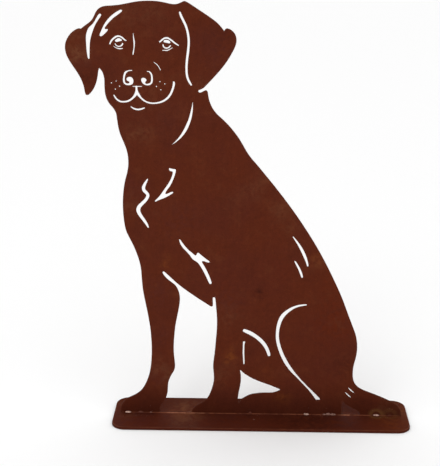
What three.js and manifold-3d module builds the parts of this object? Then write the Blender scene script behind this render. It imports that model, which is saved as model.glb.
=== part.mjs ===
// Laser-cut garden dog: the flat silhouette of a sitting dog in thin rusted sheet steel,
// standing upright along the middle of a flat base plate with rounded corners.
// Millimetres, +Z up.  The dog faces -Y with its head to the left (-X) and its tail to the right.
// The origin is the middle of the plate's underside.

import * as THREE from 'three';
import { mergeVertices } from 'three/addons/utils/BufferGeometryUtils.js';
import Module from 'manifold-3d';

const wasm = await Module();
wasm.setup();

// ---- driving dimensions ----
const PLATE_WIDTH = 430;
const PLATE_DEPTH = 100;
const PLATE_THICK = 4;
const PLATE_CORNER = 20;
const SHEET_THICK = 2;
const STRIP_HIGH = 1;             // low strip joining the feet along the plate
const SLOT_INSET = 0.18;          // how far a slot's cut edge stands inside its drawn line
const FLATNESS = 0.07;            // how far a facet may stand off its curve

const GROUND = PLATE_THICK;                 // the sheet's bottom edge
const STRIP_TOP = PLATE_THICK + STRIP_HIGH; // the gaps between the feet end here
const FRONT = -SHEET_THICK / 2;             // the sheet's front face

// ---- curves; every point is [x, z] on the dog's sheet ----

// Douglas-Peucker: leaves out the points that lie on the chord between their neighbours.
function thin(points) {
  if (points.length < 3) {
    return points;
  }
  const first = points[0];
  const last = points[points.length - 1];
  const chord = last.clone().sub(first);
  const length = chord.length();
  let worst = 0;
  let at = 0;
  for (let i = 1; i < points.length - 1; i += 1) {
    const arm = points[i].clone().sub(first);
    const off = length > 0 ? Math.abs(chord.cross(arm)) / length : arm.length();
    if (off > worst) {
      worst = off;
      at = i;
    }
  }
  if (worst < FLATNESS) {
    return [first, last];
  }
  return [...thin(points.slice(0, at + 1)), ...thin(points.slice(at)).slice(1)];
}

// A smooth run through hand-set points.
function run(points, closed = false) {
  const knots = points.map(([x, z]) => new THREE.Vector3(x, z, 0));
  const curve = new THREE.CatmullRomCurve3(knots, closed, 'centripetal');
  const samples = curve.getPoints(points.length * 12);
  return thin(samples.map((p) => new THREE.Vector2(p.x, p.y)));
}

// Runs joined end to end; each meets the next at a corner, or at a straight edge if they differ.
function outline(...runs) {
  const points = [];
  for (const part of runs) {
    for (const p of run(part)) {
      const last = points[points.length - 1];
      if (!last || last.distanceTo(p) > 1e-6) {
        points.push(p);
      }
    }
  }
  return points;
}

// A closed smooth loop.
function loop(points) {
  return run(points, true).slice(0, -1);
}

// A round hole.
function dot(x, z, diameter) {
  return new THREE.Path().absarc(x, z, diameter / 2, 0, 2 * Math.PI).getPoints(5).slice(0, -1);
}

// A brush-like slot along a centre line of [x, z, width], with round ends.
function stroke(line) {
  const curve = new THREE.CatmullRomCurve3(line.map((p) => new THREE.Vector3(...p)), false, 'centripetal');
  const steps = line.length * 8;
  const sides = [[], []];
  const side = (t, turn) => {
    const p = curve.getPoint(t);
    const d = curve.getTangent(t);
    const along = new THREE.Vector2(d.x, d.y).normalize();
    const arm = new THREE.Vector2(p.z / 2, 0).rotateAround(new THREE.Vector2(), along.angle() + turn);
    return new THREE.Vector2(p.x, p.y).add(arm);
  };
  for (let i = 0; i <= steps; i += 1) {
    sides[0].push(side(i / steps, Math.PI / 2));
    sides[1].push(side(1 - i / steps, -Math.PI / 2));
  }
  const cap = (t, from) => {
    const points = [];
    for (let i = 1; i < 5; i += 1) {
      points.push(side(t, from - (Math.PI * i) / 5));
    }
    return points;
  };
  return [
    ...thin(sides[0]),
    ...cap(1, Math.PI / 2),
    ...thin(sides[1]),
    ...cap(0, -Math.PI / 2),
  ];
}

// The cut edge of a drawn slot.
function cutEdge(drawn) {
  const area = new wasm.CrossSection([drawn.map((p) => [p.x, p.y])], 'NonZero');
  const miterLimit = 2;
  const [edge] = area.offset(-SLOT_INSET, 'Miter', miterLimit).toPolygons();
  return edge.map(([x, z]) => new THREE.Vector2(x, z));
}

// ---- the silhouette, clockwise from the toe of the left paw ----
const LEFT_PAW_AND_CHEST = [
  [-205.8, GROUND], [-205.3, 10], [-203.8, 16], [-200.5, 21.5], [-195.5, 26], [-189.3, 29.3],
  [-183, 32.6], [-176.5, 37.5], [-171, 44.5], [-166.5, 53.5], [-162.8, 64], [-160.4, 75],
  [-158.8, 89], [-158.1, 105], [-158.5, 122], [-159.8, 139], [-162.5, 158], [-166, 177.5],
  [-168.9, 194.5], [-170.3, 211], [-171.1, 226], [-173.3, 239], [-177.3, 252], [-182.4, 265],
  [-187.5, 275.5], [-191, 284], [-193, 294], [-194.4, 309], [-194.6, 325], [-193.3, 341.5],
  [-190.8, 356], [-187.5, 368], [-185.7, 379], [-186, 392], [-188.4, 403], [-192.5, 413.5],
  [-196, 423], [-198.3, 433], [-199.6, 444], [-201, 452], [-204.8, 458.6], [-209.2, 463.8],
  [-213, 471], [-214.9, 479], [-215.3, 490], [-215.3, 497.5], [-217, 505.5], [-219.7, 510.3],
  [-222, 512.3],
];
const LEFT_EAR = [
  [-222, 512.3], [-223.3, 507], [-224.3, 500.5], [-226.3, 492.7], [-229.4, 485.4], [-233.6, 479.3],
  [-237.6, 475.8], [-240.6, 475.8], [-242.1, 479.5], [-243.3, 487], [-246.4, 496.7], [-251, 505.5],
  [-257, 514.8], [-262, 523], [-265.4, 530.5], [-266.8, 538.5], [-265.9, 546.2], [-262.4, 553.6],
  [-257, 560], [-251, 564], [-247.2, 565.2], [-244.6, 564.7],
];
const CROWN = [
  [-244.6, 564.7], [-240, 568.4], [-234.5, 572.2], [-229.7, 576.6], [-226.6, 581.6], [-223.5, 587.6],
  [-219, 592.2], [-212.5, 594.6], [-203, 595.3], [-193, 596.3], [-183, 598.2], [-172, 600.3],
  [-162, 601.4], [-152, 601.7], [-142, 601.1], [-133, 599.6], [-125.5, 597.9], [-119.5, 597.3],
  [-114.5, 598.1], [-110, 600.2], [-106.2, 601.4], [-102.5, 600], [-95, 595.3], [-83, 587.4],
  [-71, 579.4], [-63, 573.2], [-57.5, 567.4], [-53.7, 562.4],
];
const RIGHT_EAR = [
  [-53.7, 562.4], [-52.6, 564.5], [-50.5, 565.8], [-47, 565.2], [-42.8, 562.6], [-39.2, 558.2],
  [-37.4, 552.5], [-37.6, 546.5], [-40, 539.5], [-44.6, 530.7], [-50.5, 521.2], [-58.5, 510.7],
  [-68, 500], [-77, 490.4], [-81.8, 485.8], [-85.3, 484], [-87.9, 483], [-88.5, 481.2],
  [-86.8, 479.7], [-84, 480.4], [-81.2, 481.9], [-78.6, 482.9], [-76.6, 482.1], [-75.6, 479.4],
];
const NAPE_AND_BACK = [
  [-75.6, 479.4], [-75, 475], [-73.9, 469.5], [-71.8, 463.5], [-68, 456.3], [-62.2, 449.2],
  [-54.8, 442.5], [-47.8, 435.4], [-41, 427.3], [-34.2, 418.2], [-28, 408], [-23, 399],
  [-17, 390.2], [-8, 379.6], [4, 365], [20, 345], [39.5, 319], [58, 292], [75, 264.7], [90, 237.5],
  [103, 211], [114, 186.7], [124, 160.3], [131.5, 141], [135.4, 130], [137.6, 119], [138.1, 107],
  [136.7, 95], [134.3, 84.5], [133.1, 74], [133.5, 64], [136, 55.5], [141, 49.2], [148.5, 44.5],
  [158, 40.6], [169, 36.2], [180, 31.4], [188, 27.5], [195, 24], [200.5, 19.3], [204, 13.5],
  [205.3, 8], [205.5, GROUND],
];

// ---- the gaps between the legs; they end on the strip ----
const BETWEEN_FRONT_LEGS = outline(
  [
    [-148, STRIP_TOP], [-147.6, 11], [-146, 15.3], [-142.8, 20.2], [-139.8, 25], [-137.6, 30.5],
    [-136.1, 36.5], [-135.6, 44], [-134.8, 51.5], [-132.8, 58.5], [-129.5, 65.5], [-126.2, 71.2],
    [-124.7, 77.5], [-125.1, 87], [-126.1, 97.5], [-126.2, 110], [-125.2, 124.5], [-123.5, 140.5],
    [-121, 154.5], [-118.7, 165.5], [-117, 175.5], [-116.5, 184.5], [-117.6, 192], [-119.9, 198.4],
    [-123, 203.3], [-128, 207.5], [-133.5, 212], [-138, 217], [-140.5, 221.4], [-140.5, 223.2],
    [-139.2, 223.8], [-137.3, 222.7], [-131, 216.7], [-122.5, 208.4], [-113, 200.2], [-101, 191.2],
    [-88, 182], [-78, 175.4], [-73.5, 172.3], [-71.5, 171.6], [-69.8, 172.3], [-69.4, 175],
    [-69.6, 182.5], [-69.3, 185], [-67.8, 185.8], [-66.4, 184.6], [-65.8, 181], [-65, 172],
    [-64, 160], [-63.6, 147], [-64.2, 133], [-65.3, 120], [-66.5, 106], [-67.8, 94], [-69.1, 84],
    [-69.2, 75.5], [-68.4, 67], [-68.2, 58.5], [-69.5, 50], [-72.5, 39.7], [-76.7, 30],
    [-80.5, 25.2], [-86.5, 20.8], [-92.5, 17], [-97.3, 12.8], [-100.2, 9.2], [-100.8, STRIP_TOP],
  ],
);
const BEHIND_FRONT_LEG = loop([
  [-29.5, 73.2], [-30, 71.5], [-29.2, 67.5], [-28.8, 60], [-29.3, 53], [-30.3, 46], [-31.5, 40],
  [-32.4, 34.5], [-33, 29.5], [-32.9, 25.5], [-32.2, 22], [-31.5, 21], [-30.8, 22.3], [-29.6, 25.2],
  [-27.3, 27.8], [-24, 29.8], [-20.5, 32], [-17, 33.8], [-12.5, 35.4], [-7.5, 36.4], [-1, 37.4],
  [6, 37.7], [13.5, 37.8], [18.5, 38.3], [22, 39.4], [25.5, 41], [27.9, 42.3], [28.3, 43.4],
  [27, 44.3], [22, 46.5], [15, 49.5], [8, 52.2], [0, 55.1], [-8, 58.4], [-15, 62], [-20.5, 65.6],
  [-25, 68.9], [-27.7, 71.7],
]);
const HEEL_AND_TAIL = outline(
  [[118.8, STRIP_TOP], [118.8, 24.5]],
  [[118.8, 24.5], [119.3, 26], [120.4, 25.7], [124, 21.5], [131, 16.8], [138.5, 13], [144, 9.3], [146, STRIP_TOP]],
);

// ---- slots cut through the sheet ----
const HEAD_LINES = [
  // inner line of the left ear
  loop([
    [-218.2, 584.7], [-216.6, 583.3], [-220.8, 576.5], [-225, 570], [-229.3, 560], [-232.4, 549.5],
    [-233.5, 540], [-233.9, 531], [-234.6, 524.6], [-236.2, 524.6], [-237.6, 531], [-238.4, 545],
    [-238, 557], [-234.6, 565.4], [-228, 572], [-223.6, 579], [-220.5, 583.6],
  ]),
  // left brow, with a hook at its lower end
  loop([
    [-190.2, 590], [-188.7, 588.7], [-195, 583], [-200, 579.6], [-205, 575], [-209.3, 570.3],
    [-212.6, 565.3], [-211, 564.3], [-208.8, 564.6], [-208.6, 563], [-213, 558], [-218.2, 554.5],
    [-220, 555.7], [-217.1, 563.4], [-213.4, 570.6], [-208.6, 577.1], [-202.2, 583.2], [-195.5, 587.8],
  ]),
  // inner line of the right ear
  stroke([
    [-112.4, 586.6, 2.6], [-110.9, 582, 3.3], [-107.7, 575.5, 3.4], [-104.7, 569, 3.3], [-102.4, 561, 3.2],
    [-101.1, 552, 3.3], [-101.1, 544, 3.3], [-102.1, 534, 3.4], [-103.5, 524, 3.3], [-104.3, 513, 3.2],
    [-103.8, 503.5, 3.2], [-102, 497, 3.2], [-99.4, 492.2, 3], [-98.2, 490.2, 2.6],
  ]),
  // bridge of the nose
  stroke([
    [-174.8, 558.8, 0.9], [-174.6, 553.5, 1.6], [-173.9, 548, 2.2], [-173.9, 543, 1.9], [-174.4, 538.5, 1.5],
    [-175.2, 534, 1.9], [-175.8, 530.9, 1.7],
  ]),
  // cheek
  stroke([[-148, 520.4, 1], [-145.7, 518.8, 1.3], [-143, 516.4, 1.4], [-141.1, 513.6, 1.4], [-139.3, 510, 1.3]]),
];
const EYES = [
  // left eye: upper lid, iris, lower rim of the iris, lower lid
  stroke([
    [-206.4, 544.7, 2], [-204.9, 548, 2.3], [-202.4, 551, 2.4], [-199.6, 553.3, 2.6], [-196.6, 554.8, 2.6],
    [-193.6, 554.9, 2.5], [-190.8, 553.8, 2.4], [-188.2, 551.7, 2.4], [-186.2, 549.9, 2.2],
    [-184.5, 549.3, 1.5],
  ]),
  loop([
    [-199.6, 548.9], [-198.7, 550.4], [-196.6, 551.9], [-194, 552.6], [-191.7, 551.6], [-190.1, 550.3],
    [-190.3, 549], [-192.5, 548.2], [-195, 547.6], [-197.4, 547.1], [-199.2, 547.8],
  ]),
  stroke([
    [-199.4, 545, 1.5], [-198.2, 542.9, 1.8], [-196.2, 541.6, 1.8], [-193.8, 541.4, 1.8],
    [-191.3, 542.3, 2], [-189.8, 544, 2.1], [-189.2, 545.3, 1.8],
  ]),
  stroke([
    [-201.4, 541.7, 1], [-199.2, 540, 1.3], [-196.4, 538.8, 1.6], [-193, 538.3, 1.9], [-189.4, 538.6, 1.2],
  ]),
  // right eye, in the same order
  stroke([
    [-139.7, 547.6, 2.1], [-137, 549.9, 2.3], [-134.4, 551.9, 2.5], [-131.8, 552.8, 2.6],
    [-129.2, 552.8, 2.6], [-126.4, 551.4, 2.5], [-123.4, 549.3, 2.4], [-120.5, 546.9, 2.4],
    [-117.6, 544.8, 2.2], [-114.8, 543.1, 1.8],
  ]),
  loop([
    [-134.7, 548.5], [-133.9, 549.9], [-131.8, 550.6], [-129, 550.4], [-127, 549.5], [-125.5, 547.9],
    [-125.6, 546.3], [-127.3, 545.4], [-129.2, 546], [-131.8, 546.5], [-134, 547],
  ]),
  stroke([
    [-135.3, 543.8, 1.9], [-134.9, 541.8, 2.1], [-133.3, 540, 2.1], [-130.8, 539.4, 2.1],
    [-128.2, 540, 2], [-126.6, 541.3, 2], [-125.4, 542.6, 1.8],
  ]),
  stroke([
    [-136, 536.3, 1.3], [-133.4, 536.4, 1.5], [-130.5, 536.2, 1.7], [-127.8, 537.1, 1.5],
    [-125.2, 538.5, 1.3], [-122.9, 539.9, 1],
  ]),
];
const MUZZLE = [
  // left nostril: a hook that curls round into a drop
  loop([
    [-177.4, 509.8], [-180, 510], [-183, 509.5], [-185.7, 508.7], [-188, 506.7], [-189.4, 503],
    [-190.2, 498.5], [-190.2, 494.3], [-189, 491.4], [-186.6, 489.6], [-183.2, 489], [-179.8, 489.4],
    [-177.3, 490.8], [-176, 493.4], [-176, 496.6], [-177.5, 499.4], [-179.9, 500.7], [-182.7, 500.5],
    [-184.9, 499], [-185.5, 496.8], [-184.2, 494.9], [-182.2, 494.1], [-181.6, 493], [-182.6, 491.9],
    [-184.8, 491.9], [-186.8, 493], [-187.5, 495.4], [-187.5, 498.8], [-186.7, 502.5], [-185.2, 505.8],
    [-182.8, 507.7], [-180, 508.4], [-177.4, 508.6],
  ]),
  // right nostril
  loop([
    [-157.6, 508.6], [-155.5, 508.8], [-153.3, 508.1], [-151.3, 506], [-150, 502.8], [-149.6, 498.8],
    [-149.8, 494.8], [-151, 491.8], [-153.5, 489.6], [-157, 488.9], [-160.3, 489.5], [-163.2, 491.2],
    [-165, 493.7], [-165.7, 496.3], [-164.9, 498.7], [-162.7, 499.6], [-160.2, 499], [-158.4, 497.3],
    [-158.4, 495.3], [-159.8, 493.8], [-159.8, 492.1], [-158.3, 491.4], [-155.5, 491.8],
    [-153.2, 493], [-152.4, 495.4], [-152.2, 499.2], [-152.5, 502.6], [-153.6, 505.2], [-155.5, 507.1],
    [-157.6, 507.5],
  ]),
  // bar under the nose
  stroke([[-177, 487.6, 1.3], [-173, 487.7, 1.6], [-169, 487.7, 1.6], [-165.1, 487.7, 1.3]]),
  // mouth: the two halves share one stem
  stroke([
    [-172.2, 487.4, 3], [-172.1, 483.5, 3], [-172.5, 480, 3.2], [-173.5, 476.6, 3.9], [-176.2, 473.1, 3],
    [-179.8, 469.9, 2.8], [-184.5, 467.4, 2.7], [-189.8, 466.6, 2.5], [-194.6, 467.1, 2.6],
    [-198.8, 469.7, 2.6], [-201.6, 473.3, 2.3], [-202.8, 475.5, 1.9],
  ]),
  stroke([
    [-172.2, 487.4, 3], [-172, 483.5, 3], [-171.2, 480, 3.3], [-169.6, 476.4, 3.9], [-167.1, 473, 2.9],
    [-163.8, 469.7, 2.7], [-159.8, 467, 2.5], [-154.5, 465.2, 2.5], [-148.8, 464.8, 2.4],
    [-142.6, 465.6, 2.6], [-136.5, 467.7, 2.8], [-131.2, 471.2, 3], [-127, 476, 3], [-124.2, 481.5, 3],
    [-122.3, 487, 3], [-121.4, 491.5, 3.1], [-121.5, 493.6, 2.8],
  ]),
  // chin
  stroke([
    [-180, 459.8, 1.7], [-177.1, 457.8, 2.4], [-173.7, 456.5, 2.7], [-170, 456.1, 2.7],
    [-165.8, 456.9, 2.5], [-162, 458.3, 2],
  ]),
  // whisker dots
  dot(-205.8, 492.3, 1.9), dot(-199.3, 494.8, 1.7), dot(-194.8, 487.9, 2), dot(-200.8, 483.8, 2),
  dot(-140.2, 494.3, 1.8), dot(-133.8, 491.3, 1.9), dot(-145, 487.8, 2), dot(-139.2, 483.3, 1.9),
];
const BODY_LINES = [
  // fold of the neck
  stroke([
    [-96.4, 466.2, 0.7], [-96.6, 461.5, 1.5], [-97.4, 456, 2.6], [-98.5, 450, 3.2], [-100, 444, 3.6],
    [-102.1, 438, 4], [-104.7, 432, 4.2], [-107.8, 426.2, 4], [-111.2, 421.1, 3.4],
    [-115.1, 416.4, 2.7], [-119.6, 412, 1.8], [-124.3, 408.1, 0.8],
  ]),
  // hooked mark on the chest
  loop([
    [-150, 327.2], [-149.2, 325.9], [-146.5, 327.4], [-142.5, 329.1], [-137.5, 331], [-132, 333.8],
    [-127, 336.9], [-124.2, 339.3], [-124.4, 340.9], [-127.5, 340.5], [-132, 338.3], [-134.3, 337.6],
    [-134.9, 338.9], [-132.3, 343.4], [-128.6, 348.6], [-125.2, 355], [-122.6, 361.5], [-120.8, 367.2],
    [-120, 371.4], [-120.5, 373], [-123.5, 373.5], [-127, 374.2], [-129.2, 374.7], [-129.8, 373],
    [-129, 370.8], [-127, 369.7], [-125, 369.3], [-124.7, 367.2], [-125.6, 363.7], [-127.6, 358.5],
    [-130.6, 353], [-134.5, 347.3], [-138.3, 341.8], [-142, 336.4], [-145.8, 331.8],
  ]),
  // wavy mark on the chest
  stroke([
    [-159.6, 358.4, 1.8], [-161.6, 354.8, 3.1], [-163.9, 350.6, 4], [-165.4, 345.8, 4.8],
    [-164.4, 342, 5], [-161.6, 339.2, 4.9], [-159.5, 335.8, 4.6], [-160.7, 331.6, 4.5],
    [-163.9, 327.2, 4.7], [-168.2, 323, 5], [-171.9, 318.8, 5.4], [-173.3, 314, 5.8], [-171.9, 309, 5.4],
    [-168.6, 303.6, 4.8], [-164.7, 298, 4.4], [-161.6, 292.8, 3.6], [-160, 289.2, 2.6],
  ]),
  // shoulder blade, with a spur
  loop([
    [-116.5, 272.3], [-114.8, 271.1], [-112.2, 267.2], [-108, 261.5], [-103.4, 256.2], [-98.6, 252.2],
    [-95.3, 249.2], [-93.8, 248.3], [-92.5, 249.5], [-91.5, 251.7], [-89.8, 252.4], [-87, 250.1],
    [-82.5, 246.2], [-77.5, 242.2], [-74.2, 239.6], [-73.8, 238], [-75.6, 237.3], [-79.5, 238.3],
    [-83, 239.4], [-84.7, 238.7], [-82.8, 235], [-80, 230], [-76.8, 223.5], [-74.2, 217.2],
    [-72, 211], [-71.1, 207.5], [-71.8, 205.6], [-73.3, 205.1], [-75, 206.8], [-77.3, 212],
    [-80.5, 219.2], [-84.2, 226.6], [-88.3, 233.6], [-91.5, 237.6], [-95.2, 240], [-98.4, 242.6],
    [-101.5, 247.2], [-106.3, 253.1], [-111.2, 258.3], [-114.6, 263.5], [-116.4, 268.8],
  ]),
  // two strokes on the back
  stroke([
    [43, 276.8, 1.6], [46.4, 272.1, 2.5], [50.8, 265.9, 3.3], [54.6, 259.4, 4], [57.9, 252.8, 4.3],
    [60.9, 245.7, 4], [63, 239.6, 3.1], [64.3, 234.2, 2.5],
  ]),
  stroke([
    [46.3, 240.6, 2], [48.4, 236.9, 2.8], [51.2, 231.8, 3.1], [53.7, 226.4, 3.4], [55.7, 221, 3.2],
    [56.7, 217.3, 2.6],
  ]),
  // thigh
  stroke([
    [63.3, 175.5, 2.5], [58.6, 174.9, 3.1], [52.2, 173.6, 3.5], [45.8, 171.1, 4.1], [40, 167.5, 4.8],
    [34.8, 163.2, 5.4], [30.4, 158.2, 5.9], [27, 151.6, 5.7], [24.5, 143, 5.2], [23.2, 133, 4.6],
    [23.3, 123.5, 4.7], [25.3, 112.8, 5], [29, 101.5, 5.2], [33.8, 90.7, 5.5], [39.2, 81.2, 5.4],
    [45.6, 72.2, 4.6], [52.3, 64.4, 3.4], [58.5, 57.4, 2.9], [65, 50.2, 3], [71.6, 43, 3.4],
    [76.8, 37, 4.4], [80.7, 32.2, 5.6], [83.6, 28.6, 6.2],
  ]),
  // knee
  stroke([
    [-24, 134.9, 5.5], [-20.8, 133.6, 6], [-16, 131.3, 6.3], [-10.2, 127.8, 6.2], [-4.2, 123.2, 6],
    [1.4, 117.7, 5.9], [5.9, 111.6, 5.6], [9.1, 105.3, 5], [10.8, 100.3, 4.9], [11.5, 97.2, 4.2],
  ]),
  // shin
  stroke([
    [-24.6, 117.1, 3.3], [-25.1, 113.4, 2.4], [-25.3, 107, 2.4], [-25.4, 100, 2.4], [-25, 92, 2.4],
    [-24.7, 85, 2.1], [-24.7, 83, 1.7],
  ]),
  // tail: two short strokes
  stroke([[127.8, 47, 1.3], [130, 44.7, 2], [133.2, 41.7, 2], [135.4, 39.9, 1.4]]),
  stroke([[123.6, 39.8, 1.3], [125.8, 37.4, 2], [128.8, 34.5, 2], [131, 32.3, 1.5]]),
];

// ---- solids ----

// Sweeps a closed outline on the sheet's plane from y = front to y = back.
function sweep(points, front, back) {
  const shape = new THREE.Shape(points);
  const geometry = new THREE.ExtrudeGeometry(shape, { depth: back - front, bevelEnabled: false });
  return geometry.rotateX(Math.PI / 2).translate(0, back, 0);
}

function toSolid(geometry) {
  const bare = geometry.clone();
  bare.deleteAttribute('normal');
  bare.deleteAttribute('uv');
  const merged = mergeVertices(bare, 1e-5);
  return new wasm.Manifold(new wasm.Mesh({
    numProp: 3,
    vertProperties: new Float32Array(merged.attributes.position.array),
    triVerts: new Uint32Array(merged.index.array),
  }));
}

function toGeometry(solid) {
  const { vertProperties, triVerts } = solid.getMesh();
  const geometry = new THREE.BufferGeometry();
  geometry.setAttribute('position', new THREE.BufferAttribute(new Float32Array(vertProperties), 3));
  geometry.setIndex(new THREE.BufferAttribute(new Uint32Array(triVerts), 1));
  geometry.computeVertexNormals();
  return geometry;
}

function dogSheet() {
  const silhouette = outline(LEFT_PAW_AND_CHEST, LEFT_EAR, CROWN, RIGHT_EAR, NAPE_AND_BACK);
  const slots = [...HEAD_LINES, ...EYES, ...MUZZLE, ...BODY_LINES];
  const cuts = [BETWEEN_FRONT_LEGS, BEHIND_FRONT_LEG, HEEL_AND_TAIL, ...slots.map(cutEdge)];
  let sheet = toSolid(sweep(silhouette, FRONT, -FRONT));
  for (const cut of cuts) {
    sheet = sheet.subtract(toSolid(sweep(cut, 4 * FRONT, -4 * FRONT)));
  }
  return toGeometry(sheet);
}

function basePlate() {
  const x = PLATE_WIDTH / 2 - PLATE_CORNER;
  const y = PLATE_DEPTH / 2 - PLATE_CORNER;
  const plan = new THREE.Shape();
  plan.absarc(x, y, PLATE_CORNER, 0, Math.PI / 2);
  plan.absarc(-x, y, PLATE_CORNER, Math.PI / 2, Math.PI);
  plan.absarc(-x, -y, PLATE_CORNER, Math.PI, Math.PI * 1.5);
  plan.absarc(x, -y, PLATE_CORNER, Math.PI * 1.5, Math.PI * 2);
  return toGeometry(toSolid(new THREE.ExtrudeGeometry(plan, {
    depth: PLATE_THICK,
    bevelEnabled: false,
    curveSegments: 14,
  })));
}

// A weld bead: a quarter of a flattened ball in the corner between the sheet and the plate.
// Each lump is [offset along x, half length, reach to the front, height].
function weld(x, lumps) {
  let bead = null;
  for (const [offset, halfLength, reach, height] of lumps) {
    const ball = new THREE.SphereGeometry(1, 16, 10).scale(halfLength, reach, height);
    const lump = toSolid(ball.translate(x + offset, FRONT, GROUND));
    bead = bead ? bead.add(lump) : lump;
  }
  const corner = new THREE.BoxGeometry(100, 20, 20).translate(x, FRONT - 10, GROUND + 10);
  return toGeometry(bead.intersect(toSolid(corner)));
}

const WELDS = [
  ['weld_left_toe', -194.5, [[0, 4.8, 2.6, 2.2]]],
  ['weld_left_paw', -176, [[0, 4, 1.8, 2.4]]],
  ['weld_left_heel', -160.8, [[0, 2, 1.7, 1.6]]],
  ['weld_hind_toe', -15, [[0, 2.6, 1.8, 3.6]]],
  ['weld_hind_foot', 67, [[-1.6, 2.2, 2.3, 2.6], [1.7, 2.4, 2.5, 2.4]]],
  ['weld_heel', 101, [[-7.2, 3.2, 1.6, 1.6], [-2, 4, 2, 3.2], [5.2, 4.6, 2.3, 2.6]]],
  ['weld_tail', 169.5, [[0, 4.4, 2.6, 2.4]]],
  ['weld_tail_tip', 189, [[0, 3, 1.4, 1.4]]],
];

// ---- the object ----
const rustySteel = (name, colour) => new THREE.MeshStandardMaterial({
  name,
  color: colour,
  roughness: 0.55,
  metalness: 0.35,
});

function node(name, geometry, material) {
  const mesh = new THREE.Mesh(geometry, material);
  mesh.name = name;
  return mesh;
}

const dog = new THREE.Group();
dog.name = 'laser_cut_dog';
dog.add(node('base_plate', basePlate(), rustySteel('rusty plate', 0x5a2a20)));
dog.add(node('dog_sheet', dogSheet(), rustySteel('rusty sheet', 0x56281b)));
for (const [name, x, lumps] of WELDS) {
  dog.add(node(name, weld(x, lumps), rustySteel('weld metal', 0x7a4a3c)));
}

export default dog;
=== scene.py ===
"""Looks for a laser-cut garden dog: a flat silhouette of rusted sheet steel welded on a base plate.

Metres, +Z up; the dog faces -Y.  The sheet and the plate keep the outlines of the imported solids
and get softened rims, a slightly uneven face and a rust patina.  Rippled weld beads with a little
spatter stand for the plain ones, and a thin run of sealer and loose rust fills the corner along
the sheet's foot.
"""

import math
import random

import bmesh
import bpy
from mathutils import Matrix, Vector, noise
from mathutils.geometry import delaunay_2d_cdt


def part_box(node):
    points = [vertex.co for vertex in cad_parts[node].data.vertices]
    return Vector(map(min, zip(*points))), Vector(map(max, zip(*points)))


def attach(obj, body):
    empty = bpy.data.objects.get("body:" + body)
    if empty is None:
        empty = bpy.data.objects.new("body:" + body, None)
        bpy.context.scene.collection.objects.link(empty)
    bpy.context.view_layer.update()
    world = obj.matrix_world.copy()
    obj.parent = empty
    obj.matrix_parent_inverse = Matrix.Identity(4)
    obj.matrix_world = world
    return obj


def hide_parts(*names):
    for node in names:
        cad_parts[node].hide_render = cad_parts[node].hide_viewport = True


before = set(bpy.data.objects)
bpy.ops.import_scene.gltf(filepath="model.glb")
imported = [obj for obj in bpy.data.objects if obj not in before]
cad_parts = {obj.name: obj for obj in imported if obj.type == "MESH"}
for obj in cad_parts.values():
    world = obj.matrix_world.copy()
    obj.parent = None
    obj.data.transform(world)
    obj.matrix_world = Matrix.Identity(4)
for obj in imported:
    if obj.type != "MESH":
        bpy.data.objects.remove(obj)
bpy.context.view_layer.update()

MM = 0.001
random.seed(7)

# ---- sizes ----
SHEET_RIM = 0.30 * MM             # radius of the edges left by the laser
PLATE_RIM = 0.60 * MM             # radius of the plate's softened edges
RIM_STEPS = 3                     # facets across a quarter-round rim
SHEET_CELL = 4.0 * MM             # spacing of the points that carry the faces' unevenness
PLATE_CELL = 3.5 * MM
SHEET_BEND = 0.25 * MM            # how far the sheet as a whole wanders from flat
BEND_LENGTH = 110 * MM            # and over what length it does
DIP = 0.06 * MM                   # how far a face dips below its true plane
DIP_LENGTH = 18 * MM
MERGE = 0.02 * MM                 # corners closer than this are one point
SLIVER = 0.0005 * MM              # a triangle lower than this only joins points of one straight side
MITRE_LIMIT = 0.6                 # keeps the mitre of a sharp corner from shooting out
THIN = 0.3                        # share of the metal's width that a rim takes where it is narrow
THIN_EASE = 0.2                   # how fast a rim widens again along the outline, per length
WEAR_WIDTH = 5.0 * MM             # how far the lighter edges, worn and with a painted rim highlight, reach in from an edge
RAGGED = 5.0 * MM                 # how far a stain's edge strays
RAGGED_LENGTH = 14 * MM
SEAM_REACH = 1.7 * MM             # the run along the sheet's foot: out over the plate,
SEAM_RISE = 0.8 * MM              # and up the sheet
SEAM_STEPS = 700                  # how finely it is cut along its length

sheet_low, sheet_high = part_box("dog_sheet")
plate_low, plate_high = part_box("base_plate")
FRONT = sheet_low.y               # the sheet's front face
BACK = sheet_high.y
DECK = plate_high.z               # the plate's top
FOOT_LEFT = sheet_low.x + 61 * MM  # the left toe's end; the ear above it reaches further out
FOOT_RIGHT = sheet_high.x         # the tail's end

BEAD_CELL = 0.22 * MM             # fineness of a bead's mesh
RIPPLE_LENGTH = 1.3 * MM          # from one ripple of a bead to the next
BEAD_SINK = 0.25 * MM             # how far a bead sinks into the sheet at most
BEAD_BITE = 0.15 * MM             # and into the plate
DROPS_EACH = 6                    # droplets of spatter round each bead

# Where no foot stands on the plate: between the front legs and between heel and tail.
FOOT_GAPS = ((-138 * MM, -80 * MM), (113 * MM, 132 * MM))

# How bare and bright each bead's crest is, from 0 for rusted over to 1 for fresh metal; the brightness
# is partly bare metal and partly a painted glint.
BEADS = {
    "left_toe": 1.0,
    "left_paw": 0.06,
    "left_heel": 0.18,
    "hind_toe": 0.02,
    "hind_foot": 0.75,
    "heel": 0.28,
    "tail": 0.90,
    "tail_tip": 0.05,
}
# What the heat of each weld left round it: the strengths of a dark patch and of an olive ring.
PLAIN_HEAT = (0.5, 0.0)
HEAT = {"tail": (0.10, 0.65), "tail_tip": (0.0, 0.30)}


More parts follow.
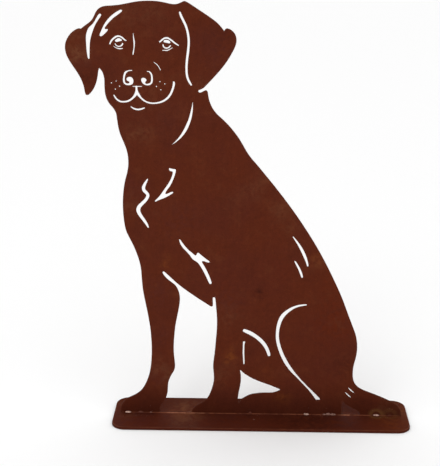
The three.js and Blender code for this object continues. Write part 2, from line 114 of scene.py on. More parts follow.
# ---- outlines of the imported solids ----

def face_loops(node, axis, level):
    """The edge loops of a flat face of a CAD node: the face where co[axis] is level.
    Each loop is a list of 2-D points in the other two axes, with the metal on its left."""
    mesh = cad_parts[node].data
    flat = [i for i in range(3) if i != axis]
    number = {}
    points = []
    place = {}
    for vertex in mesh.vertices:
        if abs(vertex.co[axis] - level) < MERGE:
            key = tuple(round(vertex.co[i] / MERGE) for i in flat)
            if key not in number:
                number[key] = len(points)
                points.append(Vector((vertex.co[flat[0]], vertex.co[flat[1]])))
            place[vertex.index] = number[key]
    edges = set()
    for polygon in mesh.polygons:
        if any(v not in place for v in polygon.vertices):
            continue
        corners = [place[v] for v in polygon.vertices]
        sides = list(zip(corners, corners[1:] + corners[:1]))
        if sum(points[a].cross(points[b]) for a, b in sides) < 0:
            sides = [(b, a) for a, b in sides]
        for a, b in sides:
            if (b, a) in edges:
                edges.remove((b, a))
            elif a != b:
                edges.add((a, b))
    following = {}
    for a, b in sorted(edges):
        following.setdefault(a, []).append(b)
    loops = []
    while following:
        start = next(iter(following))
        loop = []
        at = start
        while at in following:
            loop.append(points[at])
            step = following[at].pop()
            if not following[at]:
                del following[at]
            at = step
        loops.append(loop)
    return loops


def mitres(loop):
    """For each point of the loop, the way into the metal, which lies on its left, and how many
    times further than the sides the point moves."""
    found = []
    for i, point in enumerate(loop):
        before = (point - loop[i - 1]).normalized()
        after = (loop[(i + 1) % len(loop)] - point).normalized()
        side = Vector((-before.y, before.x))
        mitre = (side + Vector((-after.y, after.x))).normalized()
        found.append((mitre, 1 / max(mitre.dot(side), MITRE_LIMIT)))
    return found


def offset(loop, distances):
    """The loop moved into the metal, each point by its own distance."""
    return [point + mitre * further * distance
            for point, (mitre, further), distance in zip(loop, mitres(loop), distances)]


def across(point, heading, loop):
    """How far the metal reaches from a point of the loop, along a heading."""
    reach = math.inf
    for a, b in zip(loop, loop[1:] + loop[:1]):
        slope = heading.cross(b - a)
        if slope == 0 or point == a or point == b:
            continue
        away = (a - point).cross(b - a) / slope
        share = (a - point).cross(heading) / slope
        if away > 0 and 0 <= share <= 1:
            reach = min(reach, away)
    return reach


def rim_room(loop, rim):
    """The width of the rim at each point of the loop: less than rim where the metal is narrow."""
    room = [min(rim, THIN * across(point, mitre, loop))
            for point, (mitre, _) in zip(loop, mitres(loop))]
    for _ in range(3):
        eased = []
        for i, here in enumerate(room):
            j = (i + 1) % len(loop)
            back = room[i - 1] + THIN_EASE * (loop[i] - loop[i - 1]).length
            ahead = room[j] + THIN_EASE * (loop[i] - loop[j]).length
            eased.append(min(here, back, ahead))
        room = eased
    return room


def resample(loop, spacing):
    """The loop with its long straight stretches divided."""
    points = []
    for i, point in enumerate(loop):
        following = loop[(i + 1) % len(loop)]
        steps = max(1, math.ceil((following - point).length / spacing))
        points += [point.lerp(following, k / steps) for k in range(steps)]
    return points


# ---- flat pieces ----

def grid_inside(edge, segments, cell):
    """Points in a triangular grid that lie in the metal, not too near its edge."""
    near = {}
    for p in edge:
        near.setdefault((round(p.x / cell), round(p.y / cell)), []).append(p)
    crossing = {}
    for a, b in segments:
        low, high = sorted((edge[a].y, edge[b].y))
        for k in range(math.floor(low / cell), math.floor(high / cell) + 1):
            crossing.setdefault(k, []).append((edge[a], edge[b]))

    def in_metal(c):
        odd = False
        for p, q in crossing.get(math.floor(c.y / cell), []):
            if (p.y > c.y) != (q.y > c.y) and c.x < p.x + (q.x - p.x) * (c.y - p.y) / (q.y - p.y):
                odd = not odd
        return odd

    def clear(c):
        i, j = round(c.x / cell), round(c.y / cell)
        around = [q for a in (i - 1, i, i + 1) for b in (j - 1, j, j + 1)
                  for q in near.get((a, b), [])]
        return all((c - q).length > 0.45 * cell for q in around)

    found = []
    left, right = min(p.x for p in edge), max(p.x for p in edge)
    bottom, top = min(p.y for p in edge), max(p.y for p in edge)
    rise = cell * math.sqrt(3) / 2
    for row in range(int((top - bottom) / rise) + 1):
        for column in range(int((right - left) / cell) + 1):
            c = Vector((left + cell * (column + row % 2 / 2), bottom + row * rise))
            if clear(c) and in_metal(c):
                found.append(c)
    return found, in_metal


def slab(name, loops, place, low, high, rim, cell, bend):
    """A closed flat piece with rounded rims and slightly uneven faces.
    place(point, height) is the 3-D place of a 2-D point; heights run from low to high.
    Its edge attribute is 1 on the edges and falls to 0 further in; the materials lighten it as wear and
    as a painted rim highlight."""
    loops = [resample(loop, cell) for loop in loops]
    quarter = [math.pi / 2 * k / RIM_STEPS for k in range(RIM_STEPS + 1)]
    profile = [(1 - math.sin(t), low + rim * (1 - math.cos(t)), 1 - 0.8 * math.sin(t) ** 4)
               for t in quarter]
    profile += [(inset, low + high - height, wear_and_glint) for inset, height, wear_and_glint in reversed(profile)]
    vertices = []
    edge_wear_and_glint = []
    faces = []

    def add(point, height, wear_and_glint):
        spot = Vector((point.x, point.y, 0)) / BEND_LENGTH
        vertices.append(place(point, height + bend * noise.noise(spot)))
        edge_wear_and_glint.append(wear_and_glint)
        return len(vertices) - 1

    edge = []
    segments = []
    rims = []                     # for each point of the edge, its vertices on the two faces
    for loop in loops:
        room = rim_room(loop, rim)
        rings = [[add(point, height, wear_and_glint) for point in offset(loop, [inset * width for width in room])]
                 for inset, height, wear_and_glint in profile]
        count = len(loop)
        for lower, upper in zip(rings, rings[1:]):
            for i in range(count):
                faces.append((lower[i - 1], lower[i], upper[i], upper[i - 1]))
        segments += [(len(edge) + (i - 1) % count, len(edge) + i) for i in range(count)]
        edge += offset(loop, room)
        rims += list(zip(rings[0], rings[-1]))

    inner, in_metal = grid_inside(edge, segments, cell)
    flat, _, triangles, origins, _, _ = delaunay_2d_cdt(edge + inner, segments, [], 0, 1e-9)
    sides = []
    for point, sources in zip(flat, origins):
        if sources and min(sources) < len(edge):
            sides.append(rims[min(sources)])
            continue
        gap = min((point - q).length for q in edge)
        wear_and_glint = max(0.0, 1 - gap / WEAR_WIDTH)
        dip = DIP * (0.5 + 0.5 * noise.noise(Vector((point.x, point.y, 1)) / DIP_LENGTH))
        sides.append((add(point, low + dip, wear_and_glint), add(point, high - dip, wear_and_glint)))
    for triangle in triangles:
        a, b, c = (flat[i] for i in triangle)
        longest = max((b - a).length, (c - b).length, (a - c).length)
        sliver = abs((b - a).cross(c - a)) < SLIVER * longest
        if not sliver and in_metal((a + b + c) / 3):
            faces.append([sides[i][0] for i in triangle])
            faces.append([sides[i][1] for i in triangle])
    return solid_mesh(name, vertices, faces, edge_wear_and_glint)


def solid_mesh(name, vertices, faces, edge_wear_and_glint):
    """A smooth-shaded object of a closed mesh, with outward faces."""
    mesh = bpy.data.meshes.new(name)
    mesh.from_pydata(vertices, [], faces)
    mesh.attributes.new("edge_wear_and_glint", "FLOAT", "POINT").data.foreach_set("value", edge_wear_and_glint)
    work = bmesh.new()
    work.from_mesh(mesh)
    bmesh.ops.delete(work, geom=[v for v in work.verts if not v.link_faces], context="VERTS")
    bmesh.ops.recalc_face_normals(work, faces=work.faces)
    for face in work.faces:
        face.smooth = True
    work.to_mesh(mesh)
    work.free()
    piece = bpy.data.objects.new(name, mesh)
    bpy.context.scene.collection.objects.link(piece)
    return piece


def weigh_normals(piece):
    """Keeps the flat faces flat in the shading, right up to the rim."""
    weighted = piece.modifiers.new("flat faces", "WEIGHTED_NORMAL")
    weighted.mode = "FACE_AREA"
    weighted.weight = 100


def soak(piece, name, patches, flat):
    """Stores an attribute for stains, and for painted light on the plate: soft round patches with
    ragged edges.
    Each patch is (place, place, radius, strength) in millimetres, in the axes that flat names."""
    values = []
    for vertex in piece.data.vertices:
        ragged = noise.noise_vector(vertex.co / RAGGED_LENGTH) * RAGGED
        total = 0.0
        for a, b, radius, strength in patches:
            da = (vertex.co[flat[0]] + ragged.x - a * MM) / (radius * MM)
            db = (vertex.co[flat[1]] + ragged.y - b * MM) / (radius * MM)
            total += strength * math.exp(-da * da - db * db)
        values.append(total)
    piece.data.attributes.new(name, "FLOAT", "POINT").data.foreach_set("value", values)


# ---- weld beads, spatter and the run along the foot ----

def bead(node, name, bare_and_glint):
    """A rippled weld bead grown from the plain solid in its place."""
    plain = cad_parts[node].data.copy()
    draft = bpy.data.objects.new(name, plain)
    bpy.context.scene.collection.objects.link(draft)
    remesh = draft.modifiers.new("even", "REMESH")
    remesh.mode = "VOXEL"
    remesh.voxel_size = BEAD_CELL
    bpy.context.view_layer.update()
    ready = draft.evaluated_get(bpy.context.evaluated_depsgraph_get())
    mesh = bpy.data.meshes.new_from_object(ready)
    bpy.data.objects.remove(draft)
    normals = [v.normal.copy() for v in mesh.vertices]
    shine = []
    for vertex, normal in zip(mesh.vertices, normals):
        lean = vertex.co.x + 0.5 * abs(vertex.co.z - DECK - 2 * MM)
        ripple = 0.13 * MM * math.cos(2 * math.pi * lean / RIPPLE_LENGTH)
        lump = 0.18 * MM * noise.noise(vertex.co / (1.9 * MM))
        lump += 0.05 * MM * noise.noise(vertex.co / (0.6 * MM))
        vertex.co += normal * (ripple + lump)
        vertex.co.y = min(vertex.co.y, FRONT + BEAD_SINK)
        vertex.co.z = max(vertex.co.z, DECK - BEAD_BITE)
        # crests that face up and forward get a light colour: partly bare metal, partly a painted glint
        crest = max(0.0, normal.z - 0.35 * normal.y)
        shine.append(bare_and_glint * min(1.0, crest * 1.6))
    for polygon in mesh.polygons:
        polygon.use_smooth = True
    mesh.attributes.new("bare_and_glint", "FLOAT", "POINT").data.foreach_set("value", shine)
    piece = bpy.data.objects.new(name, mesh)
    bpy.context.scene.collection.objects.link(piece)
    return piece


def spatter(name, centres):
    """Small droplets of metal that stuck to the plate and to the sheet round the beads."""
    work = bmesh.new()
    for centre in centres:
        for _ in range(DROPS_EACH):
            size = random.uniform(0.18, 0.45) * MM
            along = random.uniform(-14, 14) * MM
            away = random.uniform(3, 15) * MM
            if random.random() < 0.7:
                spot = Vector((centre.x + along, FRONT - away, DECK))
                squash = Vector((size, size, 0.6 * size))
            else:
                spot = Vector((centre.x + 0.4 * along, FRONT, DECK + away * 0.8))
                squash = Vector((size, 0.6 * size, size))
            spot.x = min(max(spot.x, FOOT_LEFT + 5 * MM), FOOT_RIGHT - 6 * MM)
            drop(work, spot, squash)
    large = Vector((-9.5 * MM, FRONT - 18.5 * MM, DECK))
    drop(work, large, Vector((1.1, 0.8, 0.5)) * MM)
    mesh = bpy.data.meshes.new(name)
    for face in work.faces:
        face.smooth = True
    work.to_mesh(mesh)
    work.free()
    # the droplets take a little of the light crest colour: bare metal and painted glint
    mesh.attributes.new("bare_and_glint", "FLOAT", "POINT").data.foreach_set("value", [0.2] * len(mesh.vertices))
    piece = bpy.data.objects.new(name, mesh)
    bpy.context.scene.collection.objects.link(piece)
    return piece


def drop(work, spot, radii):
    """One ragged droplet, with its own radius along each axis."""
    made = bmesh.ops.create_icosphere(work, subdivisions=2, radius=1)["verts"]
    for vertex in made:
        ragged = 1 + 0.25 * noise.noise(vertex.co * 1.3 + spot / MM)
        vertex.co = Vector(c * r * ragged for c, r in zip(vertex.co, radii)) + spot


def seam(name, face, outward, gaps):
    """The thin concave run in the corner between the sheet and the plate, on one side.
    Its attribute for painted light rises to 1 in the gaps between the feet, given as pairs of x, where
    light from behind falls through onto the run."""
    left = FOOT_LEFT + 1.5 * MM
    right = FOOT_RIGHT - 1.5 * MM
    buried = -0.3 * MM            # inside the sheet
    sunk = -0.1 * MM              # inside the plate
    vertices = []
    for i in range(SEAM_STEPS + 1):
        along = i / SEAM_STEPS
        x = left + (right - left) * along
        swell = 1.0
        for share, length, row in ((0.50, 9.0, 0), (0.40, 3.1, 4), (0.25, 1.3, 8)):
            swell += share * noise.noise(Vector((x / (length * MM), outward, row)))
        ends = 0.25 + 0.75 * min(1.0, 8 * along, 8 * (1 - along))
        reach = SEAM_REACH * swell * ends
        rise = SEAM_RISE * (0.6 + 0.4 * swell) * ends
        section = [(buried, sunk), (reach, sunk), (reach, 0.04 * MM), (0.55 * reach, 0.22 * rise),
                   (0.25 * reach, 0.50 * rise), (0.05 * MM, rise), (buried, rise)]
        vertices += [(x, face + outward * out, DECK + up) for out, up in section]
    ring = len(section)
    faces = [list(range(ring)), list(range(SEAM_STEPS * ring, (SEAM_STEPS + 1) * ring))]
    for i in range(SEAM_STEPS):
        for k in range(ring):
            m = (k + 1) % ring
            faces.append((i * ring + k, i * ring + m, (i + 1) * ring + m, (i + 1) * ring + k))
    made = solid_mesh(name, vertices, faces, [0.0] * len(vertices))
    # painted light: the run is painted paler in the gaps, where light from behind falls through
    lit_in_gaps = []
    for vertex in made.data.vertices:
        depth = max(min(vertex.co.x - a, b - vertex.co.x) for a, b in gaps)
        lit_in_gaps.append(0.30 + 0.70 * min(1.0, max(0.0, depth / (3 * MM))))
    made.data.attributes.new("lit_in_gaps", "FLOAT", "POINT").data.foreach_set("value", lit_in_gaps)
    return made


# ---- materials ----

def shade(red, green, blue):
    """A colour in the display's steps from 0 to 255, turned into a shader's linear values."""
    return tuple(((c / 255 + 0.055) / 1.055) ** 2.4 for c in (red, green, blue)) + (1.0,)


BROWN = shade(83, 34, 18)
PLUM = shade(80, 33, 20)
MAUVE = shade(78, 35, 27)
OCHRE = shade(90, 42, 24)
ORANGE = shade(118, 60, 24)
HAZE = shade(101, 58, 37)
UMBER = shade(60, 23, 13)
RED = shade(86, 32, 14)
OLIVE = shade(100, 63, 34)
PIT = shade(48, 20, 10)
CUT_EDGE = shade(68, 30, 20)
RUBBED_AND_GLINT = shade(126, 78, 58)
LIT_SEAM = shade(136, 85, 62)
BARE_AND_GLINT = shade(200, 165, 150)
BEAD_RUST = shade(86, 42, 31)

# The stains' colours, in the order in which they lie on each other; the pale haze also serves as
# painted light on the plate.
STAIN_TONES = {"mauve": MAUVE, "umber": UMBER, "red": RED, "haze_and_gap_light": HAZE, "orange": ORANGE}
FOOT_SHADE_TOP = 62 * MM               # painted shade towards the plate starts this high above the ground
FOOT_SHADE_FULL = 10 * MM              # and is at its darkest from here down


class Paint:
    """Short ways to add shader nodes to one new material."""

    def __init__(self, name, specular, roughness=0.6):
        self.material = bpy.data.materials.new(name)
        self.material.use_nodes = True
        self.tree = self.material.node_tree
        self.shader = self.tree.nodes["Principled BSDF"]
        self.shader.inputs["Specular IOR Level"].default_value = specular
        self.shader.inputs["Roughness"].default_value = roughness
        coordinates = self.node("TexCoord")
        self.place = coordinates.outputs["Object"]
        self.facing = coordinates.outputs["Normal"]

    def node(self, kind, **settings):
        made = self.tree.nodes.new("ShaderNode" + kind)
        for key, value in settings.items():
            setattr(made, key, value)
        return made

    def feed(self, socket, value):
        """Links an output into a socket, or sets the socket's own value."""
        if isinstance(value, bpy.types.NodeSocket):
            self.tree.links.new(value, socket)
        else:
            socket.default_value = value

    def noise(self, size, detail=4, rough=0.5, warp=0.0, stretch=(1, 1, 1)):
        """Noise from 0 to 1 with features of about size, in metres."""
        moved = self.node("Mapping")
        self.feed(moved.inputs["Vector"], self.place)
        moved.inputs["Scale"].default_value = stretch
        made = self.node("TexNoise")
        self.feed(made.inputs["Vector"], moved.outputs["Vector"])
        made.inputs["Scale"].default_value = 1 / size
        made.inputs["Detail"].default_value = detail
        made.inputs["Roughness"].default_value = rough
        made.inputs["Distortion"].default_value = warp
        return made.outputs["Fac"]

    def cells(self, size):
        """Distance from the nearest of many scattered points, and a random number for each."""
        made = self.node("TexVoronoi")
        self.feed(made.inputs["Vector"], self.place)
        made.inputs["Scale"].default_value = 1 / size
        split = self.node("SeparateColor")
        self.feed(split.inputs["Color"], made.outputs["Color"])
        return made.outputs["Distance"], split.outputs["Red"]

    def attribute(self, name):
        return self.node("Attribute", attribute_name=name).outputs["Fac"]

    def math(self, operation, a, b=0.0):
        made = self.node("Math", operation=operation)
        self.feed(made.inputs[0], a)
        self.feed(made.inputs[1], b)
        return made.outputs["Value"]

    def span(self, value, low, high, start=0.0, end=1.0):
        """Turns low to high into start to end, smoothly."""
        made = self.node("MapRange", interpolation_type="SMOOTHSTEP")
        for key, number in (("Value", value), ("From Min", low), ("From Max", high),
                            ("To Min", start), ("To Max", end)):
            self.feed(made.inputs[key], number)
        return made.outputs["Result"]

    def mix(self, share, a, b, blend="MIX"):
        made = self.node("Mix", data_type="RGBA", blend_type=blend)
        self.feed(made.inputs[0], share)
        self.feed(made.inputs[6], a)
        self.feed(made.inputs[7], b)
        return made.outputs[2]

    def near(self, centre):
        """Distance from a point, in metres."""
        made = self.node("VectorMath", operation="DISTANCE")
        self.feed(made.inputs[0], self.place)
        made.inputs[1].default_value = centre
        return made.outputs["Value"]

    def bump(self, height, depth, below=None):
        made = self.node("Bump")
        made.inputs["Strength"].default_value = 1.0
        made.inputs["Distance"].default_value = depth
        self.feed(made.inputs["Height"], height)
        if below is not None:
            self.feed(made.inputs["Normal"], below)
        return made.outputs["Normal"]

    def finish(self, colour, roughness, normal):
        self.feed(self.shader.inputs["Base Color"], colour)
        self.feed(self.shader.inputs["Roughness"], roughness)
        self.feed(self.shader.inputs["Normal"], normal)
        return self.material


def browns(paint, drift):
    """The ground: plum and brown clouds, with lighter and darker drifts on them."""
    clouds = paint.noise(80 * MM, detail=3, warp=0.4)
    colour = paint.mix(paint.span(clouds, 0.36, 0.64), PLUM, BROWN)
    colour = paint.mix(paint.span(drift, 0.50, 0.74, 0, 0.6), colour, OCHRE)
    return paint.mix(paint.span(drift, 0.46, 0.28, 0, 0.2), colour, UMBER)


def stained(paint, colour):
    """The stains that soak() stored, with the painted light among them, broken up by blotches."""
    blotch = paint.span(paint.noise(9 * MM, detail=3, warp=0.8), 0.36, 0.62, 0.3, 1.6)
    for name, tone in STAIN_TONES.items():
        share = paint.math("MULTIPLY", paint.attribute(name), blotch)
        colour = paint.mix(share, colour, tone)
    return colour


def painted_foot_shade(paint, colour, drift, strength):
    """Painted shade that darkens a standing piece towards the plate, where less light reaches its foot.
    """
    height = paint.node("SeparateXYZ")
    paint.feed(height.inputs["Vector"], paint.place)
    foot_shade = paint.span(height.outputs["Z"], FOOT_SHADE_TOP, FOOT_SHADE_FULL, 0, strength)
    foot_shade = paint.math("MULTIPLY", foot_shade, paint.span(drift, 0.25, 0.6, 1.1, 0.85))
    return paint.mix(foot_shade, colour, UMBER)


def heated(paint, colour, drift, centre, dark, olive):
    """The heat of one weld leaves a dark patch, and round some welds an olive ring."""
    stray = paint.math("MULTIPLY", drift, 6 * MM)
    ragged = paint.math("ADD", paint.near(centre), stray)
    colour = paint.mix(paint.span(ragged, 15 * MM, 5 * MM, 0, dark), colour, UMBER)
    inner = paint.span(ragged, 7 * MM, 10 * MM)
    outer = paint.span(ragged, 17 * MM, 10.5 * MM, 0, olive)
    return paint.mix(paint.math("MULTIPLY", inner, outer), colour, OLIVE)


def pitted(paint, colour):
    """Small dark pits, and a few orange blooms of fresh rust.  Gives the pits as well."""
    distance, chance = paint.cells(1.6 * MM)
    few = paint.span(chance, 0.70, 0.74)
    pits = paint.math("MULTIPLY", paint.span(distance, 0.30, 0.12), few)
    colour = paint.mix(paint.math("MULTIPLY", pits, 0.6), colour, PIT)
    fewer = paint.span(chance, 0.08, 0.04)
    blooms = paint.math("MULTIPLY", paint.span(distance, 0.6, 0.0), fewer)
    return paint.mix(paint.math("MULTIPLY", blooms, 0.25), colour, ORANGE), pits


def shaded(paint, colour, mottle, grain, brightness):
    """Fine changes of brightness: mottling, grain and faint upright runs."""
    runs = paint.noise(5 * MM, detail=4, stretch=(1, 1, 0.07))
    mottling = paint.span(mottle, 0.3, 0.7, -0.06, 0.06)
    value = paint.math("ADD", mottling, paint.span(grain, 0.3, 0.7, -0.10, 0.10))
    value = paint.math("ADD", value, paint.span(runs, 0.3, 0.7, -0.025, 0.025))
    value = paint.math("ADD", value, brightness)
    tone = paint.node("CombineColor")
    for channel in ("Red", "Green", "Blue"):
        paint.feed(tone.inputs[channel], value)
    return paint.mix(1.0, colour, tone.outputs["Color"], "MULTIPLY")


def cut_side(paint, colour, side_axis):
    """A darker colour on a cut side, with the fine streaks that the laser leaves.  Gives its share and
    streaks too.
    """
    split = paint.node("SeparateXYZ")
    paint.feed(split.inputs["Vector"], paint.facing)
    side = paint.span(paint.math("ABSOLUTE", split.outputs[side_axis]), 0.75, 0.35)
    across_sheet = [1, 1, 1]
    across_sheet[side_axis] = 0.05
    streaks = paint.noise(0.35 * MM, detail=3, stretch=across_sheet)
    share = paint.math("MULTIPLY", side, paint.span(streaks, 0.3, 0.7, 0.4, 0.9))
    return paint.mix(share, colour, CUT_EDGE), side, streaks


def rust_patina(name, side_axis, welds, brightness, specular, gloss, foot_shade, wear_and_glint):
    """Thin, even rust under a matt sealer: drifting browns, stains, pits, and edges lightened partly by
    wear and partly as a painted rim highlight, with painted shade towards the plate.
    side_axis is the axis through the piece's thickness and gloss its middle roughness; the argument
    before the last sets how strong the painted shade gets down by the plate, and the last how light the
    edges are, as wear and painted rim highlight."""
    paint = Paint(name, specular)
    drift = paint.noise(26 * MM, detail=5, rough=0.6, warp=0.6)
    mottle = paint.noise(6 * MM, detail=6, rough=0.6)
    grain = paint.noise(0.8 * MM, detail=4, rough=0.65)

    colour = stained(paint, browns(paint, drift))
    # painted shade: darker towards the plate, where less light reaches the foot
    colour = painted_foot_shade(paint, colour, drift, foot_shade)
    for weld in welds:
        colour = heated(paint, colour, drift, *weld)
    colour, pits = pitted(paint, colour)
    colour = shaded(paint, colour, mottle, grain, brightness)
    # lighter edges: partly worn metal, partly a painted highlight on the rounded rims
    edge_wear_and_glint = paint.span(paint.attribute("edge_wear_and_glint"), 0.7, 1.0)
    rubbed_and_glint = paint.math("MULTIPLY", edge_wear_and_glint, paint.span(mottle, 0.3, 0.7, 0.3, 1.0))
    colour = paint.mix(paint.math("MULTIPLY", rubbed_and_glint, wear_and_glint), colour, RUBBED_AND_GLINT)
    colour, side, streaks = cut_side(paint, colour, side_axis)

    roughness = paint.span(mottle, 0.3, 0.7, gloss - 0.06, gloss + 0.08)
    roughness = paint.math("ADD", roughness, paint.math("MULTIPLY", pits, 0.2))
    roughness = paint.math("SUBTRACT", roughness, paint.math("MULTIPLY", rubbed_and_glint, 0.12))
    normal = paint.bump(drift, 0.12 * MM)
    normal = paint.bump(mottle, 0.16 * MM, normal)
    normal = paint.bump(grain, 0.09 * MM, normal)
    normal = paint.bump(paint.math("MULTIPLY", pits, -1.0), 0.08 * MM, normal)
    normal = paint.bump(paint.math("MULTIPLY", side, streaks), 0.08 * MM, normal)
    return paint.finish(colour, roughness, normal)


def weld_metal():
    """Weld metal: rusted in its hollows and bright on the crest of a fresh bead, partly as bare metal
    and partly as a painted glint.
    """
    paint = Paint("weld metal", specular=0.2)
    mottle = paint.noise(1.8 * MM, detail=5, rough=0.6)
    grain = paint.noise(0.4 * MM, detail=3)
    bare_and_glint = paint.math("MULTIPLY", paint.attribute("bare_and_glint"), paint.span(mottle, 0.35, 0.6, 0.5, 1.2))
    colour = paint.mix(paint.span(mottle, 0.35, 0.65), BROWN, BEAD_RUST)
    colour = paint.mix(bare_and_glint, colour, BARE_AND_GLINT)
    paint.feed(paint.shader.inputs["Metallic"], paint.math("MULTIPLY", bare_and_glint, 0.7))
    paint.feed(paint.shader.inputs["Specular IOR Level"], paint.span(bare_and_glint, 0.0, 0.7, 0.05, 0.4))
    roughness = paint.span(bare_and_glint, 0.0, 0.8, 0.62, 0.30)
    normal = paint.bump(mottle, 0.10 * MM)
    normal = paint.bump(grain, 0.03 * MM, normal)
    return paint.finish(colour, roughness, normal)


def seam_run():
    """Sealer and loose rust gathered in the corner, painted pale as the highlight along it: palest in
    the gaps, where light from behind falls through, and darker where the feet stand, partly dirt and
    partly painted shade.
    """
    paint = Paint("seam run", specular=0.06)
    patches = paint.noise(9 * MM, detail=4)
    mottle = paint.noise(2.5 * MM, detail=6, rough=0.6)
    grain = paint.noise(0.6 * MM, detail=3)
    lit_in_gaps = paint.attribute("lit_in_gaps")
    # the pale colour is painted light along the corner, strongest in the gaps; the dark patches are
    # partly dirt, partly painted shade under the feet
    colour = paint.mix(lit_in_gaps, BROWN, LIT_SEAM)
    unlit_share = paint.span(lit_in_gaps, 0.0, 1.0, 0.8, 0.45)
    dull_and_shade = paint.math("MULTIPLY", paint.span(patches, 0.42, 0.62), unlit_share)
    colour = paint.mix(dull_and_shade, colour, UMBER)
    colour = paint.mix(paint.span(mottle, 0.45, 0.75, 0, 0.5), colour, BROWN)
    roughness = paint.span(mottle, 0.3, 0.7, 0.40, 0.62)
    normal = paint.bump(mottle, 0.15 * MM)
    normal = paint.bump(grain, 0.04 * MM, normal)
    return paint.finish(colour, roughness, normal)


# ---- the pieces ----
dog = slab("dog", face_loops("dog_sheet", 1, FRONT), lambda p, h: (p.x, h, p.y), FRONT, BACK,
           SHEET_RIM, SHEET_CELL, SHEET_BEND)
base = slab("base", face_loops("base_plate", 2, DECK), lambda p, h: (p.x, p.y, h), plate_low.z, DECK,
            PLATE_RIM, PLATE_CELL, 0.0)

# Stains on the sheet: x, z, radius and strength.
SHEET_STAINS = {
    "orange": [(-135, 234, 7, 0.18), (-135, 246, 7, 0.14), (-45, 91, 8, 0.45), (-44, 104, 7, 0.18),
               (30, 30, 11, 0.38), (78, 243, 9, 0.18), (5, 70, 12, 0.10)],
    "haze_and_gap_light": [(-178, 424, 12, 0.32), (-158, 421, 12, 0.22), (-86, 492, 11, 0.18), (-14, 344, 14, 0.22),
             (8, 362, 11, 0.25), (-42, 330, 14, 0.10), (42, 292, 11, 0.22), (80, 240, 9, 0.25),
             (-252, 566, 14, 0.40), (-252, 533, 13, 0.55), (-190, 584, 20, 0.20), (-150, 588, 20, 0.18),
             (188, 9, 15, 0.60), (170, 10, 10, 0.25), (-135, 60, 10, 0.25), (-147, 76, 13, 0.30),
             (-62, 60, 14, 0.20), (-50, 78, 12, 0.12), (-48, 155, 16, 0.18), (-182, 320, 16, 0.20),
             (-160, 480, 30, 0.15), (25, 318, 16, 0.25)],
    "mauve": [(-62, 540, 30, 0.35), (-243, 522, 16, 0.3), (-148, 190, 20, 0.4), (-146, 120, 22, 0.3),
             (-115, 300, 30, 0.3), (-180, 340, 18, 0.3), (-50, 180, 28, 0.3), (40, 240, 24, 0.2),
             (-10, 410, 26, 0.3), (-130, 440, 24, 0.2), (-145, 60, 16, 0.4)],
    "umber": [(-3, 193, 7, 0.6), (70, 215, 14, 0.15), (-240, 500, 12, 0.4),
              (120, 90, 22, 0.25), (-56, 560, 20, 0.25)],
    "red": [(33, 228, 22, 0.20), (-190, 18, 14, 0.35), (-35, 395, 16, 0.2), (95, 205, 22, 0.20),
            (105, 150, 34, 0.55), (25, 14, 16, 0.20), (158, 16, 14, 0.25)],
}
# Stains on the plate, with painted light in the gaps between the feet: x, y, radius and strength.
PLATE_STAINS = {
    "orange": [(195, -28, 26, 0.14), (178, -8, 14, 0.08), (206, 20, 14, 0.2), (-120, 0, 22, 0.12)],
    # among these, the haze patches near x -108 and x 122 are painted light, falling through the gaps
    # between the feet onto the plate
    "haze_and_gap_light": [(-207, 25, 12, 0.3), (-195, -11, 12, 0.22), (204, 8, 14, 0.3), (190, -11, 12, 0.18),
             (195, 38, 16, 0.3), (-108, -28, 22, 0.35),
             (-108, 0, 22, 0.30), (-110, 22, 20, 0.45), (122, 6, 10, 0.25)],
    "mauve": [(120, 10, 34, 0.6), (-60, 20, 50, 0.3), (130, -30, 34, 0.5), (-180, -22, 40, 0.7),
              (-110, -30, 40, 0.5), (-20, -30, 50, 0.4), (60, -34, 40, 0.3)],
    "umber": [(30, -15, 60, 0.25), (75, -20, 40, 0.3), (-75, -10, 30, 0.15)],
    "red": [(-150, -40, 30, 0.2), (0, -44, 40, 0.2), (180, -36, 30, 0.3)],
}
for piece, stains, flat in ((dog, SHEET_STAINS, (0, 2)), (base, PLATE_STAINS, (0, 1))):
    weigh_normals(piece)
    for name, patches in stains.items():
        soak(piece, name, patches, flat)

weld_centres = {}
for name in BEADS:
    low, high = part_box("weld_" + name)
    weld_centres[name] = Vector(((low.x + high.x) / 2, FRONT, DECK))
heat = [(centre, *HEAT.get(name, PLAIN_HEAT)) for name, centre in weld_centres.items()]

steel = weld_metal()
# the sheet gets painted shade towards the plate, the plate gets none
dog.data.materials.append(rust_patina("rusty sheet", 1, heat, brightness=1.00, specular=0.03,
                                      gloss=0.60, foot_shade=0.75, wear_and_glint=0.15))
# the plate's rims are lightened more: wear and a painted rim highlight
base.data.materials.append(rust_patina("rusty plate", 2, heat, brightness=0.80, specular=0.014,
                                       gloss=0.60, foot_shade=0.0, wear_and_glint=0.45))

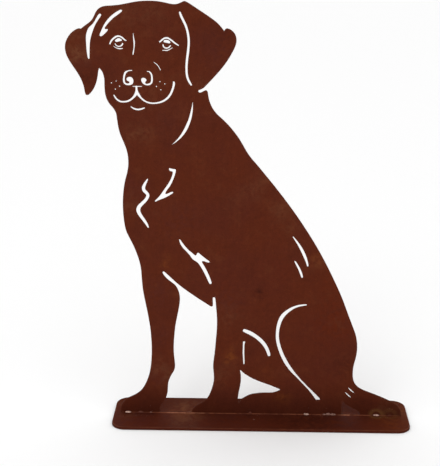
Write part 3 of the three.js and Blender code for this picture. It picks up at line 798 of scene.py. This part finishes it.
pieces = [(dog, ["dog_sheet"], "rusty_sheet"), (base, ["base_plate"], "rusty_plate")]
for name, bare_and_glint in BEADS.items():
    made = bead("weld_" + name, "bead_" + name, bare_and_glint)
    made.data.materials.clear()
    made.data.materials.append(steel)
    pieces.append((made, ["weld_" + name], "weld_metal"))
drops = spatter("spatter", list(weld_centres.values()))
drops.data.materials.append(steel)
pieces.append((drops, [], "weld_metal"))
run_paint = seam_run()
for name, face, outward in (("seam_front", FRONT, -1), ("seam_back", BACK, 1)):
    made = seam(name, face, outward, FOOT_GAPS)
    made.data.materials.append(run_paint)
    pieces.append((made, [], "rusty_sheet"))

for piece, nodes, slot in pieces:
    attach(piece, "root")
    if nodes:
        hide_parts(*nodes)

# ---- floor, light and camera ----
FLOOR_SIZE = 40.0
PAPER = (0.93, 0.93, 0.93, 1)
SKY = 1.05                        # brightness of the even light from all round
KEY_POWER = 5.0                   # watts of the softbox to the left of the camera
LENS = 89.27                      # millimetres, on a sensor 36 wide
CAMERA_PLACE = (-0.01206, -1.54192, 0.76575)
CAMERA_DIP = 17.427               # degrees below the horizon
CAMERA_TURN = 1.756               # degrees to the left

bpy.ops.mesh.primitive_plane_add(size=FLOOR_SIZE)
floor = bpy.context.object
floor.name = "floor"
paper = Paint("white paper", specular=0.1, roughness=0.9)
paper.shader.inputs["Base Color"].default_value = PAPER
floor.data.materials.append(paper.material)

scene = bpy.context.scene
scene.view_settings.view_transform = "Standard"
world = bpy.data.worlds.new("studio")
world.use_nodes = True
world.node_tree.nodes["Background"].inputs["Color"].default_value = (1, 1, 1, 1)
world.node_tree.nodes["Background"].inputs["Strength"].default_value = SKY
scene.world = world


def softbox(name, place, target, size, power):
    """A square area light at a place, turned to its target."""
    light = bpy.data.lights.new(name, "AREA")
    light.size = size
    light.energy = power
    lamp = bpy.data.objects.new(name, light)
    lamp.location = place
    lamp.rotation_euler = (Vector(target) - Vector(place)).to_track_quat("-Z", "Y").to_euler()
    scene.collection.objects.link(lamp)


softbox("key", (-0.9, -1.5, 1.9), (0, 0, 0.2), 0.7, KEY_POWER)

camera = bpy.data.objects.new("camera", bpy.data.cameras.new("camera"))
camera.data.sensor_width = 36
camera.data.lens = LENS
camera.location = CAMERA_PLACE
camera.rotation_euler = (math.radians(90 - CAMERA_DIP), 0, math.radians(CAMERA_TURN))
scene.collection.objects.link(camera)
scene.camera = camera
